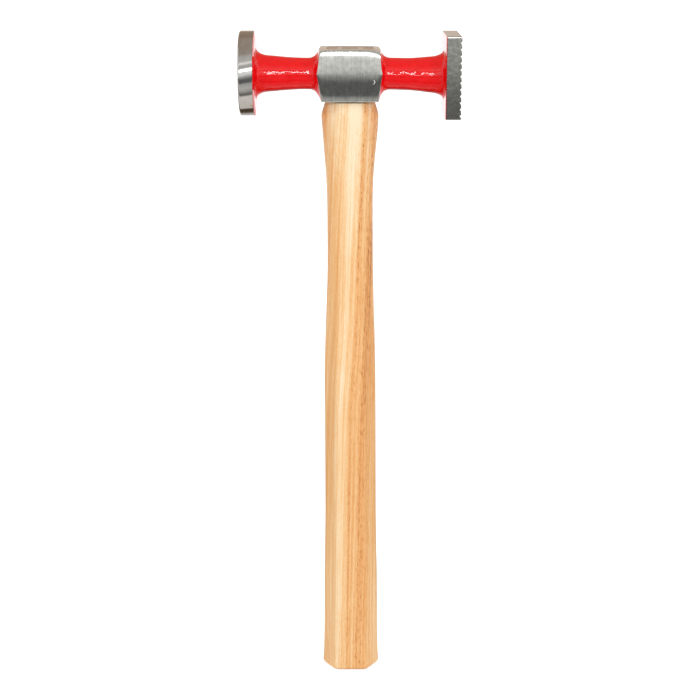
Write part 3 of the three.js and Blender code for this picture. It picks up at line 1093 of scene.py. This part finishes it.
def hickory(name, end_tone):
    """Hickory with straight grain: ring lines that drift along the stick, fibres and open pores."""
    wood, tree, shader = new_finish(name)
    place = on_piece(tree)
    x, y, z = parts_of(place)

    def by_height(low, high, to_low=0.0, to_high=1.0):
        return spread(z, low * mm, high * mm, to_low, to_high)

    def along_grain(stretch, *kind):
        return grit(stretched(place, 1, 1, stretch), *kind)

    # The palest line bends along the stick, and the rings bow round the heart behind it
    pale_line = z * z * 0.0725 - 0.0070 + z * 0.0055
    sway = (along_grain(0.3, 42, 3.0) - 0.5) * 0.0016
    across = x - pale_line - y * y * 7.0 + sway + by_height(185, 140, 0.0, 1.5 * mm)
    lines = growth_lines(across)
    grain = joined(across, y * 0.12, z * 0.006)
    streaks = grit(grain, 1000, 5.0, 0.72)
    fibres = along_grain(0.03, 2200, 2.0, 0.7)
    flecks = along_grain(0.25, 2600, 2.0, 0.6)

    # Pores are open in the dark lines and nearly closed in the palest wood
    pores = spread(along_grain(0.13, 2400, 1.0), 0.56, 0.66)
    in_dark = spread(lines, 0.60, 0.20, 0.3, 1.0)
    open_pores = pores * in_dark * spread(across, 2 * mm, 5 * mm, 0.25, 1.0)
    tone = lines * by_height(110, 230, 0.50, 0.80) + streaks * 1.40 + fibres * 0.50 + flecks * 0.35
    tone -= open_pores * by_height(130, 230, 0.28, 0.5)

    # The stick is paler towards its top; left of the middle of its shoulder painted light lifts it, and
    # painted shade darkens its left edge there
    painted_left_shoulder_shading = by_height(255, 285) * spread(x, -1 * mm, -7 * mm)
    painted_left_shoulder_shading = painted_left_shoulder_shading * spread(x, -11.5 * mm, -8.5 * mm, -1.0, 1.0) * 0.20
    tone = tone + by_height(40, 230, -0.74, -0.93) + by_height(215, 289, 0.0, 0.23) + painted_left_shoulder_shading
    shade = blended(tone, wood_tones, "LINEAR")
    end_grain = spread(abs(facing_up(tree)), 0.75, 0.95)
    shade = tint(end_grain * 0.9, shade, end_tone)

    # Painted shadow in the seam under the boss, and a little darkening at both sides of the shoulder
    darker_shoulder_sides = by_height(284.5, 287) * spread(abs(x), 10.5 * mm, 12.5 * mm) * 0.25
    painted_seam_shadow_and_dark_sides = by_height(290.8, 291.4).calc("MAXIMUM", darker_shoulder_sides) * by_height(292.1, 291.9)
    feed(shader, {
        "Base Color": tint(painted_seam_shadow_and_dark_sides, shade, (0.09, 0.035, 0.018, 1)),
        "Roughness": spread(streaks, 0.3, 0.7, 0.36, 0.50),
        "Normal": relief(fibres * 0.25 - open_pores, 0.03 * mm),
        "Specular IOR Level": 0.3, "Coat Weight": 0.05, "Coat Roughness": 0.25,
    })
    return wood


hickory_handle = handle_piece()
cut_out(hickory_handle, wood_wedge_rings(joint_gap))
for side in (-1, 1):
    cut_out(hickory_handle, steel_wedge_rings(side, joint_gap))
hickory_handle.data.materials.append(hickory("varnished_hickory", (0.36, 0.275, 0.22, 1)))
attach(hickory_handle, "root")
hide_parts("handle")


# Wedges in the eye
#
# A wooden wedge glued and driven into the saw cut spreads the tenon, and two steel wedges driven
# across it hold both. All three are dressed off level with the top of the boss.

eye_wedge = wedge_piece("eye_wedge", wood_wedge_rings())
for side in (-1, 1):
    cut_out(eye_wedge, steel_wedge_rings(side, joint_gap))
eye_wedge.data.materials.append(hickory("wedge_hickory", (0.29, 0.21, 0.16, 1)))
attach(eye_wedge, "root")
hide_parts("wood_wedge")

for side, place in ((-1, "left"), (1, "right")):
    cross_wedge = wedge_piece(f"cross_wedge_{place}", steel_wedge_rings(side))
    cross_wedge.data.materials.append(milled_steel)
    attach(cross_wedge, "root")
    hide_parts(f"steel_wedge_{place}")


# Studio
#
# A pale floor that runs out to the horizon, one wide soft lamp before the hammer, even light from
# all round, and grey and white cards that show only as bands in the polished steel.

# The lens, place and tilt of the camera were fitted to the outline of the pictured hammer
camera_data = bpy.data.cameras.new("camera")
camera_data.sensor_width = 36
camera_data.lens = 80.08
camera = placed("camera", camera_data)
camera.location = (0, -0.7414, 0.3759)
camera.rotation_euler = (math.radians(74.39), 0, 0)
bpy.context.scene.camera = camera


def seen_by_eye(tree):
    """One where a ray comes from the camera or from a reflection or glass, zero for soft light."""
    rays = tree.nodes.new("ShaderNodeLightPath").outputs
    eye, mirror, glass = [Value(rays[f"Is {kind} Ray"]) for kind in ("Camera", "Glossy", "Transmission")]
    return eye.calc("MAXIMUM", mirror).calc("MAXIMUM", glass)


def pale_floor():
    floor_mesh = bpy.data.meshes.new("floor")
    shell = bmesh.new()
    bmesh.ops.create_circle(shell, cap_ends=True, radius=14, segments=64)
    shell.to_mesh(floor_mesh)
    shell.free()
    paint, tree, shader = new_finish("floor_paint")
    feed(shader, {
        "Base Color": (0.74, 0.74, 0.74, 1), "Roughness": 0.9, "Specular IOR Level": 0.0,
        "Emission Color": (1, 1, 1, 1), "Emission Strength": seen_by_eye(tree) * 0.60,
    })
    floor_mesh.materials.append(paint)
    return placed("floor", floor_mesh)


def all_round_light(strength):
    world = bpy.data.worlds.new("studio")
    world.use_nodes = True
    tree = world.node_tree
    level = spread(seen_by_eye(tree), 0.0, 1.0, strength, 1.0)
    feed(tree.nodes["Background"], {"Color": (1, 1, 1, 1), "Strength": level})
    bpy.context.scene.world = world


def soft_lamp():
    """The lamp, placed by how high it stands over the head as the steel sees it."""
    distance, low, high, width, brightness = 1.6, 12.3, 16.5, 1.4, 14.7
    bottom = head_axis_height + distance * math.tan(math.radians(low))
    top = head_axis_height + distance * math.tan(math.radians(high))
    data = bpy.data.lights.new("soft_lamp", "AREA")
    data.shape = "RECTANGLE"
    data.size = width
    data.size_y = top - bottom
    data.energy = brightness * math.pi * data.size * data.size_y
    lamp = placed("soft_lamp", data)
    lamp.location = (0.3, -distance, (top + bottom) / 2)
    lamp.rotation_euler = (math.radians(90), 0, 0)
    lamp.visible_camera = False


def bounce_cards():
    """A band of cards under, before, over and behind the head, seen by its polished steel alone."""
    rows = (
        # degrees up from the front as the head sees it, brightness, warmth
        (-148, 0.85, 0.1), (-129, 0.50, 0.3), (-120, 0.08, 1.2), (-104, 0.07, 1.2), (-98, 0.78, 0.2),
        (-58, 0.90, 0.15), (-53, 0.18, 0.2), (-48, 0.26, 0.2), (-42, 0.52, 0.1), (-34, 0.68, 0.05),
        (-23, 0.54, 0.0), (-18, 0.17, 0.0), (-11, 0.16, 0.0), (-8, 0.30, 0.0), (-3, 0.54, 0.0),
        (2, 1.0, 0.0), (10, 1.3, 0.0), (19, 1.3, 0.0), (21, 0.55, 0.0), (27, 0.62, 0.0), (33, 1.3, 0.05),
        (39, 0.70, 0.1), (54, 0.60, 0.1), (60, 0.40, 0.5), (112, 0.38, 0.6), (120, 0.31, 0.9),
        (155, 0.31, 0.9), (166, 0.55, 0.6), (181, 0.58, 0.6),
    )
    half_width, far, floor_from = 3.5, 3.0, -6
    points, faces, tones = [], [], []
    for degrees, brightness, warmth in rows:
        angle = math.radians(degrees)
        reach = far if degrees >= floor_from else (head_axis_height - 1 * mm) / math.sin(-angle)
        for side in (-1, 1):
            height = head_axis_height + reach * math.sin(angle)
            points.append((side * half_width, -reach * math.cos(angle), height))
            red, blue = brightness * (1 + 0.36 * warmth), brightness * (1 - 0.27 * warmth)
            tones.append((red, brightness, blue, 1))
    for i in range(len(rows) - 1):
        faces.append((2 * i, 2 * i + 1, 2 * i + 3, 2 * i + 2))
    mesh = bpy.data.meshes.new("bounce_cards")
    mesh.from_pydata(points, [], faces)
    tone = mesh.attributes.new("tone", "FLOAT_COLOR", "POINT")
    for i, value in enumerate(tones):
        tone.data[i].color = value
    cards = placed("bounce_cards", mesh)
    paper, tree, shader = new_finish("card_paper")
    feed(shader, {
        "Base Color": (0, 0, 0, 1), "Specular IOR Level": 0.0, "Emission Strength": 1.0,
        "Emission Color": step(tree, "ShaderNodeAttribute", gives="Color", attribute_name="tone"),
    })
    mesh.materials.append(paper)
    for rays in ("camera", "diffuse", "shadow", "transmission", "volume_scatter"):
        setattr(cards, f"visible_{rays}", False)
    return cards


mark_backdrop(pale_floor(), bounce_cards())
all_round_light(0.92)
soft_lamp()
bpy.context.scene.view_settings.view_transform = "Standard"

boxes = {"cad": cad_box, "visual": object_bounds()}
{name: [list(corner) for corner in box] for name, box in boxes.items()}
